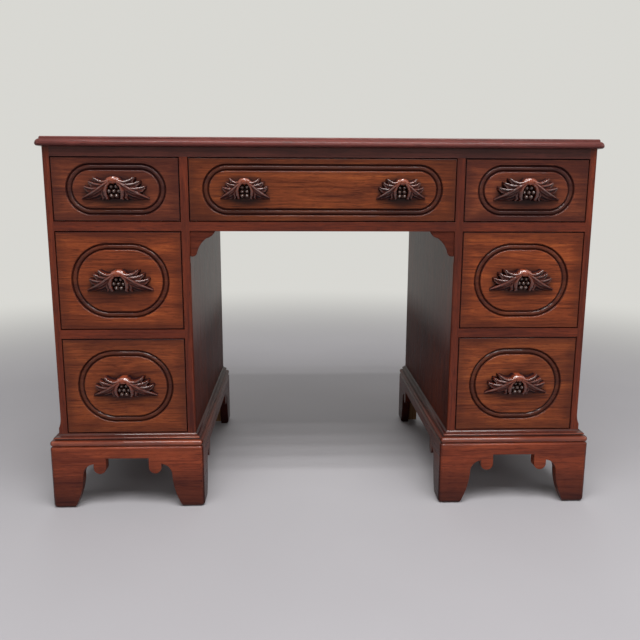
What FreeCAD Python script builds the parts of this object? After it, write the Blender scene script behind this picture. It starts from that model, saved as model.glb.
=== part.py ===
import FreeCAD, Part
import os
from math import copysign, cos, pi, sin, sqrt
from FreeCAD import Vector

os.makedirs("parts", exist_ok=True)

# Overall sizes, millimetres
desk_height = 795.5
carcase_width = 1140.0
carcase_depth = 584.0
kneehole_width = 556.0

# Writing top
top_thickness = 19.0
top_overhang = 13.0
top_back_overhang = 5.0
top_nose_height = 5.0
top_nose_round = 4.5
top_nose_bulge = 1.3
top_ovolo_height = 14.0
top_ovolo_run = 7.8
top_ovolo_bulge = 2.0
top_quirk = 1.0
top_lip_run = 2.0
top_lip_bulge = 0.9

# Carcase boards
outer_side_thickness = 14.0
inner_side_thickness = 17.0
rail_height = 19.5
rail_depth = 60.0
top_rail_height = 20.5
tenon_length = 6.0
tenon_shoulder = 4.0
back_thickness = 8.0
back_rebate = 8.0
centre_back_thickness = 18.0
runner_width = 20.0
stop_length = 40.0
stop_depth = 14.0
stop_height = 6.0
arris_radius = 5.5
arris_stop = 8.0
side_flare = 5.0
flare_foot = 12.0
flare_height = 34.0
flare_hollow = 1.2

# Heights of the drawer openings
upper_opening = 131.0
lower_opening_extra = 2.5

# Plinth and base moulding
plinth_height = 141.0
plinth_projection = 17.0
plinth_corner = 9.0
plinth_thickness = 22.0
plinth_top_chamfer = 4.0
plinth_back_height = 40.0
moulding_height = 25.0
moulding_bead = 12.0
moulding_arris = 9.7
moulding_arris_height = 17.5
floor_reveal = 0.5
foot_width = 47.0
foot_shoulder = 69.0
foot_shoulder_height = 72.0
scallop_height = 101.0
pendant_radius = 13.5
pendant_share = 0.381
pendant_drop = 35.5
apron_height = 27.0
glue_block = 25.0
glue_block_lift = 6.0

# Kneehole corner brackets
bracket_size = 52.8
bracket_thickness = 10.0
bracket_setback = 2.0

# Drawers
front_thickness = 20.0
front_gap = 1.8
drawer_lift = 0.3
drawer_headroom = 4.0
drawer_rear_clearance = 46.0
side_thickness = 10.0
bottom_thickness = 6.0
bottom_height = 8.0
groove_depth = 5.0
back_inset = 12.0
dovetail_length = 12.0
dovetail_pitch = 60.0
dovetail_flare = 2.0

# Sunk oval moulding on the drawer fronts
oval_end_margin = 26.3
oval_shallow_margin = 11.2
oval_deep_margin = 22.9
oval_width = 14.5
oval_depth = 4.2
oval_shoulder = 1.7
oval_bead = 3.2
oval_crown = 4.0
oval_steps = 36

# Carved pulls
pull_width = 138.0
pull_height = 47.0
small_pull_width = 103.0
small_pull_height = 43.0
pull_projection = 27.0
pull_rise = 2.0
berry_radius = 4.3
berry_seat = 0.33
berry_crest = 0.72
centre_pull_spacing = 323.0

# Levels and planes that follow from the sizes above
top_under = desk_height - top_thickness
upper_floor = top_under - top_rail_height - upper_opening
moulding_top = plinth_height + moulding_height
lower_floor = moulding_top + floor_reveal
deep_openings = upper_floor - lower_floor - 2 * rail_height
lower_opening = (deep_openings + lower_opening_extra) / 2
middle_opening = deep_openings - lower_opening
middle_floor = upper_floor - rail_height - middle_opening
outer_face = carcase_width / 2
base_face = outer_face + side_flare
opening_outer = outer_face - outer_side_thickness
kneehole_face = kneehole_width / 2
opening_inner = kneehole_face + inner_side_thickness
pedestal_opening = opening_outer - opening_inner
pedestal_x = (opening_inner + opening_outer) / 2
front_y = (pull_projection - carcase_depth - top_back_overhang) / 2
back_y = front_y + carcase_depth
panel_y = back_y - back_thickness
centre_back_y = back_y - centre_back_thickness
rail_back_y = front_y + rail_depth
plinth_inset = plinth_thickness - plinth_projection
plinth_inner = kneehole_face - plinth_projection
plinth_outer = base_face + plinth_projection
plinth_front = front_y - plinth_projection
pendant_centre = foot_shoulder + pendant_share * ((plinth_outer - plinth_inner) / 2 - foot_shoulder)
drawer_length = carcase_depth - centre_back_thickness - drawer_rear_clearance
up = Vector(0, 0, 1)


def save(name, *solids):
    Part.makeCompound(list(solids)).exportStep("parts/" + name + ".step")


def box(x0, x1, y0, y1, z0, z1):
    return Part.makeBox(x1 - x0, y1 - y0, z1 - z0, Vector(x0, y0, z0))


def mirrored(solid):
    return solid.mirror(Vector(0, 0, 0), Vector(1, 0, 0))


def joined(solids):
    return solids[0].multiFuse(solids[1:]).removeSplitter()


def outline(start, *steps):
    """Closed face in the XZ plane; a step is an end point, or a middle and an end point of an arc."""
    points = [Vector(start[0], 0, start[1])]
    edges = []
    for step in steps + ((start,),):
        ends = [Vector(x, 0, z) for x, z in step]
        if len(ends) == 2:
            edges.append(Part.Arc(points[-1], ends[0], ends[1]).toShape())
        elif points[-1].distanceToPoint(ends[0]) > 1e-6:
            edges.append(Part.makeLine(points[-1], ends[0]))
        points.append(ends[-1])
    return Part.Face(Part.Wire(edges))


def crown(start, end, bulge):
    """Middle point of an arc that stands out from its chord, to the left of the way along it."""
    run, rise = end[0] - start[0], end[1] - start[1]
    share = bulge / (run * run + rise * rise) ** 0.5
    return (start[0] + end[0]) / 2 - rise * share, (start[1] + end[1]) / 2 + run * share


def edge_run(profile, x0, x1, y0, y1):
    """Left, front and right lengths of an edge moulding, rounded and mitred at the two front corners."""
    corners = [Vector(x0, y0, 0), Vector(x1, y0, 0)]
    lengths = [Vector(0, y1 - y0, 0), Vector(x1 - x0, 0, 0), Vector(0, y1 - y0, 0)]
    turns = [[(0, 1)], [(0, -1), (1, 1)], [(1, -1)]]
    pieces = []
    for side in range(3):
        solids = []
        for corner, direction in turns[side]:
            section = profile.copy()
            section.rotate(Vector(0, 0, 0), up, 90 * side)
            section.translate(corners[corner])
            solids.append(section.revolve(corners[corner], up, 45 * direction))
        straight = profile.copy()
        straight.rotate(Vector(0, 0, 0), up, 90 * side)
        straight.translate(corners[turns[side][0][0]])
        solids.append(straight.extrude(lengths[side]))
        pieces.append(joined(solids))
    return pieces


# Writing top with its moulded front and side edges
ovolo_out = top_overhang - top_ovolo_run
lip_out = ovolo_out - top_quirk
nose_foot = (top_nose_round - top_overhang, top_under)
nose = (-top_overhang, top_under + top_nose_height)
ovolo_top = (-ovolo_out, top_under + top_ovolo_height)
lip_foot = (-lip_out, top_under + top_ovolo_height)
lip_top = (top_lip_run - lip_out, desk_height)
top_profile = outline(
    (0, top_under), (nose_foot,), (crown(nose_foot, nose, top_nose_bulge), nose),
    (crown(nose, ovolo_top, top_ovolo_bulge), ovolo_top), (lip_foot,),
    (crown(lip_foot, lip_top, top_lip_bulge), lip_top), ((0, desk_height),))
top_edges = edge_run(top_profile, -outer_face, outer_face, front_y, back_y + top_back_overhang)
top_field = box(-outer_face, outer_face, front_y, back_y + top_back_overhang, top_under, desk_height)
save("top_board", joined([top_field] + top_edges))


# Rails, with stub tenons let into the sides
def rail(x0, x1, z0, height):
    tongue = box(x0 - tenon_length, x1 + tenon_length, front_y + 2 * tenon_shoulder,
                 rail_back_y - 2 * tenon_shoulder, z0 + tenon_shoulder, z0 + height - tenon_shoulder)
    return box(x0, x1, front_y, rail_back_y, z0, z0 + height).fuse(tongue)


top_rail = rail(-opening_outer, opening_outer, top_under - top_rail_height, top_rail_height)
kneehole_rail = rail(-kneehole_face, kneehole_face, upper_floor - rail_height, rail_height)
right_rails = [rail(opening_inner, opening_outer, z - rail_height, rail_height)
               for z in (upper_floor, middle_floor)]
save("top_front_rail", top_rail)
save("kneehole_rail", kneehole_rail)
save("drawer_rails", *(right_rails + [mirrored(r) for r in right_rails]))

# Pedestal bottoms housed in the sides, and back boards in rebates
right_bottom = box(opening_inner - tenon_length, opening_outer + tenon_length, front_y, panel_y,
                   lower_floor - rail_height, lower_floor)
right_back = box(opening_inner - back_rebate, opening_outer + back_rebate, panel_y, back_y,
                 plinth_height, top_under)
centre_back = box(-kneehole_face, kneehole_face, centre_back_y, back_y,
                  upper_floor - rail_height, top_under)
save("pedestal_bottoms", right_bottom, mirrored(right_bottom))
save("back_boards", right_back, mirrored(right_back), centre_back)

# Pedestal sides: the outer ones flare over the base, the inner ones have a stopped round on their arris
flare_top = (outer_face, moulding_top + flare_height)
flare_bottom = (base_face, moulding_top + flare_foot)
flare = outline((outer_face, plinth_height), ((base_face, plinth_height),), (flare_bottom,),
                (crown(flare_bottom, flare_top, flare_hollow), flare_top))
flare = flare.extrude(Vector(0, carcase_depth, 0))
flare.translate(Vector(0, front_y, 0))
right_outer = box(opening_outer, outer_face, front_y, back_y, plinth_height, top_under)
right_outer = joined([right_outer, flare])
right_inner = box(kneehole_face, opening_inner, front_y, back_y, plinth_height, top_under)
arris_low = moulding_top
arris_top = middle_floor + arris_stop
arris_waist = arris_radius * (1 - cos(pi / 4))
arris_waste = outline((0, 0), ((arris_radius, 0),), ((arris_waist, arris_waist), (0, arris_radius)))
arris_waste = arris_waste.extrude(Vector(0, arris_top - arris_low, 0))
arris_waste.rotate(Vector(0, 0, 0), Vector(1, 0, 0), 90)
arris_waste = arris_waste.mirror(Vector(0, 0, 0), Vector(0, 1, 0))
arris_waste.translate(Vector(kneehole_face, front_y, arris_low))
right_outer = right_outer.cut([top_rail, right_bottom, right_back] + right_rails)
right_inner = right_inner.cut([top_rail, kneehole_rail, right_bottom, right_back, arris_waste] + right_rails)
save("right_outer_side", right_outer)
save("right_inner_side", right_inner)
save("left_outer_side", mirrored(right_outer))
save("left_inner_side", mirrored(right_inner))

# Runners under the drawers and kickers over the upper row
strips = []
for z in (middle_floor - rail_height, upper_floor - rail_height, top_under - top_rail_height):
    height = top_rail_height if z > upper_floor else rail_height
    for x in (opening_inner, opening_outer - runner_width):
        strips.append(box(x, x + runner_width, rail_back_y, panel_y, z, z + height))
    if z > middle_floor:
        strips.append(box(kneehole_face - runner_width, kneehole_face, rail_back_y, centre_back_y,
                          z, z + height))
save("runners_and_kickers", *(strips + [mirrored(s) for s in strips]))

# Stops behind the drawer fronts
stop_y = front_y + front_thickness + drawer_lift
stops = []
stop_places = [(kneehole_width / 4, upper_floor)]
for z in (lower_floor, middle_floor, upper_floor):
    stop_places.append((pedestal_x - pedestal_opening / 4, z))
    stop_places.append((pedestal_x + pedestal_opening / 4, z))
for x, z in stop_places:
    stops.append(box(x - stop_length / 2, x + stop_length / 2, stop_y, stop_y + stop_depth,
                     z, z + stop_height))
save("drawer_stops", *(stops + [mirrored(b) for b in stops]))

# Scalloped brackets in the upper corners of the kneehole
bracket_top = upper_floor - rail_height
bracket_steps = [((-1, 0),), ((-0.86, -0.18), (-0.655, -0.275)), ((-0.37, -0.59), (-0.265, -0.86)),
                 ((-0.17, -0.98), (-0.035, -1)), ((0, -1),)]
bracket = outline((0, 0), *[[(x * bracket_size, z * bracket_size) for x, z in step]
                            for step in bracket_steps])
bracket.translate(Vector(kneehole_face, front_y + bracket_setback, bracket_top))
bracket = bracket.extrude(Vector(0, bracket_thickness, 0))
save("corner_brackets", bracket, mirrored(bracket))

# Base frames: three lengths round each pedestal, mitred and a little rounded at the front corners
def mitre_prisms(depth):
    left, right, rear = plinth_inner + depth, plinth_outer - depth, plinth_front + depth
    front_left, front_right = (plinth_inner, plinth_front), (plinth_outer, plinth_front)
    loops = [[front_left, (plinth_inner, back_y), (left, back_y), (left, rear)],
             [front_left, front_right, (right, rear), (left, rear)],
             [front_right, (plinth_outer, back_y), (right, back_y), (right, rear)]]
    prisms = []
    for loop in loops:
        points = [Vector(x, y, 0) for x, y in loop]
        prisms.append(Part.Face(Part.makePolygon(points + points[:1])).extrude(Vector(0, 0, moulding_top)))
    return prisms


def rounded_base(height):
    base = box(plinth_inner, plinth_outer, plinth_front, back_y, 0, height)
    corners = [e for e in base.Edges if e.BoundBox.ZLength > 1 and e.BoundBox.YMax < front_y]
    return base.makeFillet(plinth_corner, corners)


# Base moulding: bead, fillet and a splay dying into the carcase
bead_top = plinth_height + moulding_bead
arris_z = plinth_height + moulding_arris_height
bead_radius = moulding_bead / 2
bead_in = plinth_projection - bead_radius
moulding = outline(
    (0, plinth_height), ((-plinth_projection, plinth_height),),
    ((-plinth_projection, bead_top - bead_radius),),
    ((-bead_in - bead_radius * cos(pi / 4), bead_top - bead_radius + bead_radius * sin(pi / 4)),
     (-bead_in, bead_top)),
    ((-moulding_arris, bead_top),), ((-moulding_arris, arris_z),), ((0, moulding_top),))
base_width = plinth_outer - plinth_inner
base_depth = back_y - plinth_front
ways = [(kneehole_face, plinth_front, 0, base_depth), (plinth_inner, front_y, base_width, 0),
        (base_face, plinth_front, 0, base_depth)]
right_moulding = []
for side, prism in enumerate(mitre_prisms(plinth_projection)):
    x, y, along_x, along_y = ways[side]
    section = moulding.copy()
    section.rotate(Vector(0, 0, 0), up, 90 * side)
    section.translate(Vector(x, y, 0))
    length = section.extrude(Vector(along_x, along_y, 0))
    right_moulding.append(length.common(prism).common(rounded_base(moulding_top)))
save("base_mouldings", *(right_moulding + [mirrored(m) for m in right_moulding]))


# Bracket-foot plinth: scalloped boards mitred at the rounded front corners
def apron(length):
    left = [
        ((foot_width, 0),),
        ((foot_width + 0.6 * (foot_shoulder - foot_width), 0.4 * foot_shoulder_height),
         (foot_shoulder, foot_shoulder_height)),
        ((foot_shoulder + 0.27 * (pendant_centre - pendant_radius - foot_shoulder),
          foot_shoulder_height + 0.69 * (scallop_height - foot_shoulder_height)),
         (pendant_centre - pendant_radius, scallop_height)),
        ((pendant_centre - pendant_radius, plinth_height - apron_height - pendant_drop + pendant_radius),),
        ((pendant_centre, plinth_height - apron_height - pendant_drop),
         (pendant_centre + pendant_radius, plinth_height - apron_height - pendant_drop + pendant_radius)),
        ((pendant_centre + pendant_radius, plinth_height - apron_height),)]
    ends = [(0, 0)] + [step[-1] for step in left]
    right = []
    for i in reversed(range(len(left))):
        step = left[i][:-1] + (ends[i],)
        right.append(tuple((length - x, z) for x, z in step))
    across = ((length - ends[-1][0], ends[-1][1]),)
    return outline((0, 0), *left, across, *right, ((length, plinth_height),), ((0, plinth_height),))


inner_x = kneehole_face + plinth_inset
outer_x = base_face - plinth_inset
inner_y = front_y + plinth_inset
envelope = rounded_base(plinth_height)
rim = [e for e in envelope.Edges if e.BoundBox.ZMin > plinth_height - 1 and e.BoundBox.YMin < back_y - 1]
envelope = envelope.makeChamfer(plinth_top_chamfer, rim)

front_apron = apron(base_width).extrude(Vector(0, plinth_thickness, 0))
front_apron.translate(Vector(plinth_inner, plinth_front, 0))
side_apron = apron(base_depth).extrude(Vector(0, plinth_thickness, 0))
side_apron.rotate(Vector(0, 0, 0), up, 90)
side_apron.translate(Vector(inner_x, plinth_front, 0))
far_apron = side_apron.copy()
far_apron.translate(Vector(plinth_outer - inner_x, 0, 0))
inner_board, front_board, outer_board = [
    board.common(prism).common(envelope)
    for board, prism in zip((side_apron, front_apron, far_apron), mitre_prisms(plinth_thickness))]
side_boards = [inner_board, outer_board]

back_board = box(inner_x, outer_x, back_y - plinth_thickness, back_y,
                 plinth_height - plinth_back_height, plinth_height)
blocks = []
for x in (inner_x, outer_x - glue_block):
    for y in (inner_y, back_y - plinth_thickness - glue_block):
        blocks.append(box(x, x + glue_block, y, y + glue_block, glue_block_lift, plinth_height))
save("plinth_fronts", front_board, mirrored(front_board))
save("plinth_sides", *(side_boards + [mirrored(b) for b in side_boards]))
save("plinth_backs", back_board, mirrored(back_board))
save("glue_blocks", *(blocks + [mirrored(b) for b in blocks]))


def faceted(rings, endless=False):
    """Solid with flat facets between rings of points, closed by end caps or by the first ring."""
    loops = [] if endless else [rings[0], rings[-1]]
    for below, above in zip(rings, rings[1:] + rings[:1] if endless else rings[1:]):
        for i in range(len(below)):
            loops.append([below[i - 1], below[i], above[i], above[i - 1]])
    faces = [Part.Face(Part.makePolygon(loop + loop[:1])) for loop in loops]
    return Part.makeSolid(Part.makeShell(faces))


# Sunk oval: a routed ring with a bead between two quirks
def oval_groove(width, height):
    across = min(width, height)
    radius = (across - oval_width) / 2
    reach_x = (width - across) / 2
    reach_z = (height - across) / 2
    rim = oval_width / 2
    quirk = rim - oval_shoulder
    crown = oval_crown / 2
    bead_depth = oval_depth - oval_bead
    rings = []
    for out, depth in ((-rim, 0), (-quirk, oval_depth), (-crown, bead_depth), (crown, bead_depth),
                       (quirk, oval_depth), (rim, 0)):
        ring = []
        for k in range(oval_steps):
            angle = (k + 0.5) / oval_steps * 2 * pi
            x, z = (radius + out) * cos(angle), (radius + out) * sin(angle)
            ring.append(Vector(x + copysign(reach_x, x), depth, z + copysign(reach_z, z)))
        rings.append(ring)
    return faceted(rings, endless=True)


# Carved pull: spreading leaves and a hood with a cluster of berries in its hollow
def stacked(points, centre, sections):
    rings = []
    for depth, scale in sections:
        rings.append([Vector(centre[0] + (x - centre[0]) * scale, -depth, centre[1] + (z - centre[1]) * scale)
                      for x, z in points])
    return faceted(rings)


def pull(width, height, berry_rows):
    lower_leaf = [(0, 0.30), (0.45, 0.12), (0.80, -0.30), (1.0, -0.85), (0.45, -1.0)]
    upper_leaf = [(0, 0.50), (0.30, 0.56), (0.59, 0.98), (0.56, 0.66), (0.72, 0.58), (0.63, 0.26),
                  (0.83, -0.12), (0.55, -0.22)]
    hood = [(0, 1.0), (0.12, 0.90), (0.25, 0.45), (0.30, -0.10), (0.30, -0.60), (0.24, -1.0)]
    hollow = [(0, 0.55), (0.08, 0.40), (0.15, 0.05), (0.16, -0.40), (0.12, -1.1)]
    hood_span = sqrt(width * pull_width)
    depth = pull_projection

    def carved(half, span, centre, *sections):
        left = [(-x, z) for x, z in reversed(half) if x > 0]
        rim = [(x * span / 2, z * height / 2) for x, z in half + left]
        return stacked(rim, (0, centre * height), [(share * depth, scale) for share, scale in sections])

    block = joined([carved(lower_leaf, width, -0.15, (0, 1.0), (0.15, 1.0), (0.5, 0.4)),
                    carved(upper_leaf, width, 0.1, (0, 1.0), (0.45, 1.0), (0.76, 0.5)),
                    carved(hood, hood_span, 0.36, (0, 1.0), (0.55, 1.0), (0.85, 0.9), (1.0, 0.35))])
    block = block.cut(carved(hollow, hood_span, 0, (berry_seat, 1.0), (1.1, 1.0)))
    berries = []
    for row, count in zip((1, 0, -1), berry_rows):
        for i in range(count):
            x = (i - (count - 1) / 2) * 2 * berry_radius
            z = row * 1.9 * berry_radius - 0.08 * height
            rim = [(x + berry_radius * cos(k * pi / 3), z + berry_radius * sin(k * pi / 3)) for k in range(6)]
            sections = [(0.8 * berry_seat * depth, 1.0), (berry_crest * depth, 0.6)]
            berries.append(stacked(rim, (x, z), sections))
    return joined([block] + berries)


# Drawers: moulded front, dovetailed sides, back, bottom and carved pulls
def drawer(name, x, opening, floor, height, oval_margin, pulls):
    half = opening / 2 - front_gap
    low = floor + drawer_lift
    side_height = height - drawer_headroom - drawer_lift
    front = box(-half, half, front_y, front_y + front_thickness,
                floor + front_gap, floor + height - front_gap)
    middle = floor + height / 2
    groove = oval_groove(2 * (half - oval_end_margin), height - 2 * front_gap - 2 * oval_margin)
    groove.translate(Vector(0, front_y, middle))
    inside = half - side_thickness
    panel = box(-inside - groove_depth, inside + groove_depth, front_y + front_thickness - groove_depth,
                front_y + drawer_length, low + bottom_height, low + bottom_height + bottom_thickness)
    rear_y = front_y + drawer_length - back_inset
    rear = box(-inside - groove_depth, inside + groove_depth, rear_y - side_thickness, rear_y,
               low + bottom_height + bottom_thickness, low + side_height - drawer_headroom)
    side = box(inside, half, front_y + front_thickness, front_y + drawer_length, low, low + side_height)
    tails = int(side_height / dovetail_pitch)
    tail_half = side_height / tails / 4
    root_y = front_y + front_thickness
    tip_y = root_y - dovetail_length
    for i in range(tails):
        z = low + side_height * (i + 0.5) / tails
        tip = tail_half + dovetail_flare
        corners = [Vector(inside, root_y, z - tail_half), Vector(inside, tip_y, z - tip),
                   Vector(inside, tip_y, z + tip), Vector(inside, root_y, z + tail_half)]
        tail = Part.Face(Part.makePolygon(corners + corners[:1])).extrude(Vector(side_thickness, 0, 0))
        side = side.fuse(tail)
    side = side.removeSplitter().cut([panel, rear])
    sides = [side, mirrored(side)]
    front = front.cut([groove, panel] + sides)
    pull_solids = []
    for offset, width, tall, berry_rows in pulls:
        carving = pull(width, tall, berry_rows)
        carving.translate(Vector(offset, front_y, middle + pull_rise))
        pull_solids.append(carving)
    pieces = {"front": [front], "sides": sides, "back": [rear], "bottom": [panel],
              "pulls" if len(pulls) > 1 else "pull": pull_solids}
    for piece, solids in pieces.items():
        for solid in solids:
            solid.translate(Vector(x, 0, 0))
        save(name + "_drawer_" + piece, *solids)


single = [(0, pull_width, pull_height, (2, 3, 2))]
pair = [(side * centre_pull_spacing / 2, small_pull_width, small_pull_height, (2, 2, 2))
        for side in (-1, 1)]
for hand, x in (("left", -pedestal_x), ("right", pedestal_x)):
    drawer(hand + "_upper", x, pedestal_opening, upper_floor, upper_opening, oval_shallow_margin, single)
    drawer(hand + "_middle", x, pedestal_opening, middle_floor, middle_opening, oval_deep_margin, single)
    drawer(hand + "_lower", x, pedestal_opening, lower_floor, lower_opening, oval_deep_margin, single)
drawer("centre", 0, kneehole_width, upper_floor, upper_opening, oval_shallow_margin, pair)
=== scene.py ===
# %% [markdown]
# # A carved kneehole desk
# The desk is a walnut and mahogany piece under a clear red-brown lacquer: two pedestals of drawers, a
# wide drawer over the kneehole, sunk ovals on the drawer fronts and carved leaf pulls. Its exact solids
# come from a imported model, which is loaded here as a fixed frame. This lesson dresses that frame, one
# kind of piece at a time.

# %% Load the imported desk
import bmesh
import bpy
import numpy as np
from math import copysign, cos, radians, sin
from mathutils import Euler, Matrix, Vector


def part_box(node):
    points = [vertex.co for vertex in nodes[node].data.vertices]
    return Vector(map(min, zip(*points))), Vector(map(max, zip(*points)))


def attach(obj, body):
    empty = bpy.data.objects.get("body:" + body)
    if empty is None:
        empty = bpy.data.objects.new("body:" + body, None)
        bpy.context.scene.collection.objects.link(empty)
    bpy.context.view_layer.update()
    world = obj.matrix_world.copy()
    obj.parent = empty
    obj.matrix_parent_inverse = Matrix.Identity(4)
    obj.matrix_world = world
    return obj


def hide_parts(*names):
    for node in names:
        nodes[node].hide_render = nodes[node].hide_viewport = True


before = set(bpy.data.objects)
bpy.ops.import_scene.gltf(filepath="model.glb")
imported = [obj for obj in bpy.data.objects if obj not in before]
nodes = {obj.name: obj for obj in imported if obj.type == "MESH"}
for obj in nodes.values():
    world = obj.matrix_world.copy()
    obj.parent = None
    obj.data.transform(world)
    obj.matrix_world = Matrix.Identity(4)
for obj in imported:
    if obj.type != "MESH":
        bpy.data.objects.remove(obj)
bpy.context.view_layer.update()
mm = 0.001

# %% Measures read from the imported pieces
top_overhang = 13 * mm
plinth_corner = 9 * mm
stile_low, stile_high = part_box("right_outer_side")
plinth_low, plinth_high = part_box("plinth_fronts")
front_plane, back_plane = stile_low.y, stile_high.y
outer_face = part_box("top_board")[1].x - top_overhang
base_face = stile_high.x
kneehole_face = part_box("right_inner_side")[0].x
plinth_top, plinth_front = plinth_high.z, plinth_low.y
plinth_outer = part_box("base_mouldings")[1].x
plinth_out = plinth_outer - base_face
plinth_inner = kneehole_face - plinth_out
print("front plane", round(front_plane, 4), "kneehole face", round(kneehole_face, 4),
      "base", round(plinth_outer, 4))

# %% [markdown]
# ## Camera
# The photograph was taken from just below the height of the desk top, looking a little down. A camera
# object with a matching lens and place gives the same picture. The numbers come from a fit of the drawer
# edges, so nothing has to be nudged by eye.

# %% Place the camera
camera_place = (-0.0586, -1.7167, 0.6886)
# degrees down, to the right and over
camera_dip, camera_turn, camera_lean = 10.71, 2.10, 0.2
camera_data = bpy.data.cameras.new("desk_camera")
camera_data.sensor_width = 36.0
camera_data.lens = 38.36
camera = bpy.data.objects.new("desk_camera", camera_data)
bpy.context.scene.collection.objects.link(camera)
aim = Euler((radians(90 - camera_dip), 0, radians(-camera_turn))).to_matrix()
aim = aim @ Matrix.Rotation(radians(camera_lean), 3, "Z")
camera.location = camera_place
camera.rotation_euler = aim.to_euler()
bpy.context.scene.camera = camera
bpy.context.scene.view_settings.view_transform = "Standard"
print("camera at", [round(v, 3) for v in camera.location])

# %% [markdown]
# ## Node helpers
# Every finish on the desk is a small tree of nodes. A short helper adds a node, sets its plain values and
# joins the sockets that are handed to it, so that the trees below read as lists of what feeds what.

# %% Helpers that add nodes and wire them
def add_node(tree, kind, inputs=None, **settings):
    made = tree.nodes.new(kind)
    for setting, value in settings.items():
        setattr(made, setting, value)
    for socket, value in (inputs or {}).items():
        if isinstance(value, bpy.types.NodeSocket):
            tree.links.new(value, made.inputs[socket])
        else:
            made.inputs[socket].default_value = value
    return made


def new_group(name, takes, gives):
    group = bpy.data.node_groups.new(name, "ShaderNodeTree")
    kinds = {"vector": "NodeSocketVector", "colour": "NodeSocketColor", "value": "NodeSocketFloat"}
    for socket, kind in takes:
        group.interface.new_socket(socket, in_out="INPUT", socket_type=kinds[kind])
    for socket, kind in gives:
        group.interface.new_socket(socket, in_out="OUTPUT", socket_type=kinds[kind])
    return group, group.nodes.new("NodeGroupInput").outputs, group.nodes.new("NodeGroupOutput").inputs


def blend(tree, share, first, second):
    mix = add_node(tree, "ShaderNodeMix", {0: share, 6: first, 7: second}, data_type="RGBA")
    return mix.outputs[2]


def reckon(tree, operation, first, second=0.0, third=0.0):
    return add_node(tree, "ShaderNodeMath", {0: first, 1: second, 2: third}, operation=operation).outputs[0]


def ramp(tree, value, low, high, to_low=0.0, to_high=1.0):
    return add_node(tree, "ShaderNodeMapRange", {0: value, 1: low, 2: high, 3: to_low, 4: to_high},
                    interpolation_type="SMOOTHSTEP").outputs[0]


def height_of(tree, place):
    return add_node(tree, "ShaderNodeSeparateXYZ", {0: place}).outputs["Z"]


# %% [markdown]
# ## Figured wood
# Walnut and mahogany show slow bands, long streaks along the grain, fine lines, dark flecks, short pores
# and broad dark clouds. Each has its own size, so six textures are stretched along the grain and added
# up. The result is a group that every wooden finish shares, with its own three colours and its own
# direction of grain.

# %% Sizes and shares of the figure
# repeats in a metre along and across the grain, and detail
figure_sizes = {"bands": (2.4, 44.0, 3.0), "streaks": (6.0, 230.0, 4.0), "lines": (20.0, 700.0, 3.0),
                "flecks": (34.0, 320.0, 3.0), "pores": (60.0, 1100.0, 2.0), "clouds": (6.0, 15.0, 3.0)}
drift_size = (3.0, 6.0, 2.0)
drift_reach = 0.03
band_share, streak_share, line_share = 0.34, 0.42, 0.24
cloud_strength, fleck_strength, pore_strength = 0.5, 0.6, 0.5
print(len(figure_sizes), "textures in the figure")

# %% Build the figured wood group
def stretched_noise(tree, place, along, across, detail):
    drawn = add_node(tree, "ShaderNodeVectorMath", {0: place, 1: (along, across, across)},
                     operation="MULTIPLY")
    return add_node(tree, "ShaderNodeTexNoise", {"Vector": drawn.outputs[0], "Scale": 1.0,
                                                 "Detail": detail, "Roughness": 0.6}).outputs


def build_figured_wood():
    tree, takes, gives = new_group(
        "figured_wood",
        [("Place", "vector"), ("Light", "colour"), ("Middle", "colour"), ("Dark", "colour")],
        [("Colour", "colour"), ("Height", "value"), ("Roughness", "value")])
    drift = stretched_noise(tree, takes["Place"], *drift_size)["Color"]
    sway = add_node(tree, "ShaderNodeVectorMath", {0: drift, 1: (0.5, 0.5, 0.5)}, operation="SUBTRACT")
    swayed = add_node(tree, "ShaderNodeVectorMath", {0: sway.outputs[0], 1: (0.0, drift_reach, drift_reach),
                                                     2: takes["Place"]}, operation="MULTIPLY_ADD")
    figure = {}
    for name, size in figure_sizes.items():
        place = takes["Place"] if name in ("flecks", "pores") else swayed.outputs[0]
        figure[name] = stretched_noise(tree, place, *size)["Fac"]
    tone = reckon(tree, "MULTIPLY_ADD", figure["bands"], band_share,
                  reckon(tree, "MULTIPLY_ADD", figure["streaks"], streak_share,
                         reckon(tree, "MULTIPLY", figure["lines"], line_share)))
    cloud_mask = ramp(tree, figure["clouds"], 0.55, 0.36)
    fleck_mask = ramp(tree, figure["flecks"], 0.55, 0.68)
    pore_mask = ramp(tree, figure["pores"], 0.54, 0.66)
    colour = blend(tree, ramp(tree, tone, 0.34, 0.52), takes["Dark"], takes["Middle"])
    colour = blend(tree, ramp(tree, tone, 0.48, 0.68), colour, takes["Light"])
    for mask, strength in ((cloud_mask, cloud_strength), (fleck_mask, fleck_strength),
                           (pore_mask, pore_strength)):
        colour = blend(tree, reckon(tree, "MULTIPLY", mask, strength), colour, takes["Dark"])
    height = reckon(tree, "SUBTRACT", reckon(tree, "MULTIPLY", figure["lines"], 0.25), pore_mask)
    tree.links.new(colour, gives["Colour"])
    tree.links.new(height, gives["Height"])
    tree.links.new(ramp(tree, figure["streaks"], 0.3, 0.7, 0.26, 0.34), gives["Roughness"])
    return tree


figured_wood = build_figured_wood()
print("group", figured_wood.name, "with", len(figured_wood.nodes), "nodes")

# %% [markdown]
# ## Lacquered finishes
# The boards wear the same wood in several directions: rails, fronts and the top run sideways, the
# pedestal sides run up, and the side mouldings run back. A Mapping node turns the pattern for each. The
# lacquer is a clear coat on the shader, so highlights sit above the colour as they do on a polished desk.
# The wood below it hardly shines by itself, because the air meets only the coat.

# %% Make a finish from the group
grain_turns = {"sideways": (0, 0, 0), "upright": (0, radians(90), 0), "back": (0, 0, radians(-90))}


def start_finish(name):
    finish = bpy.data.materials.new(name)
    finish.use_nodes = True
    tree = finish.node_tree
    return finish, tree, tree.nodes["Principled BSDF"]


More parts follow.
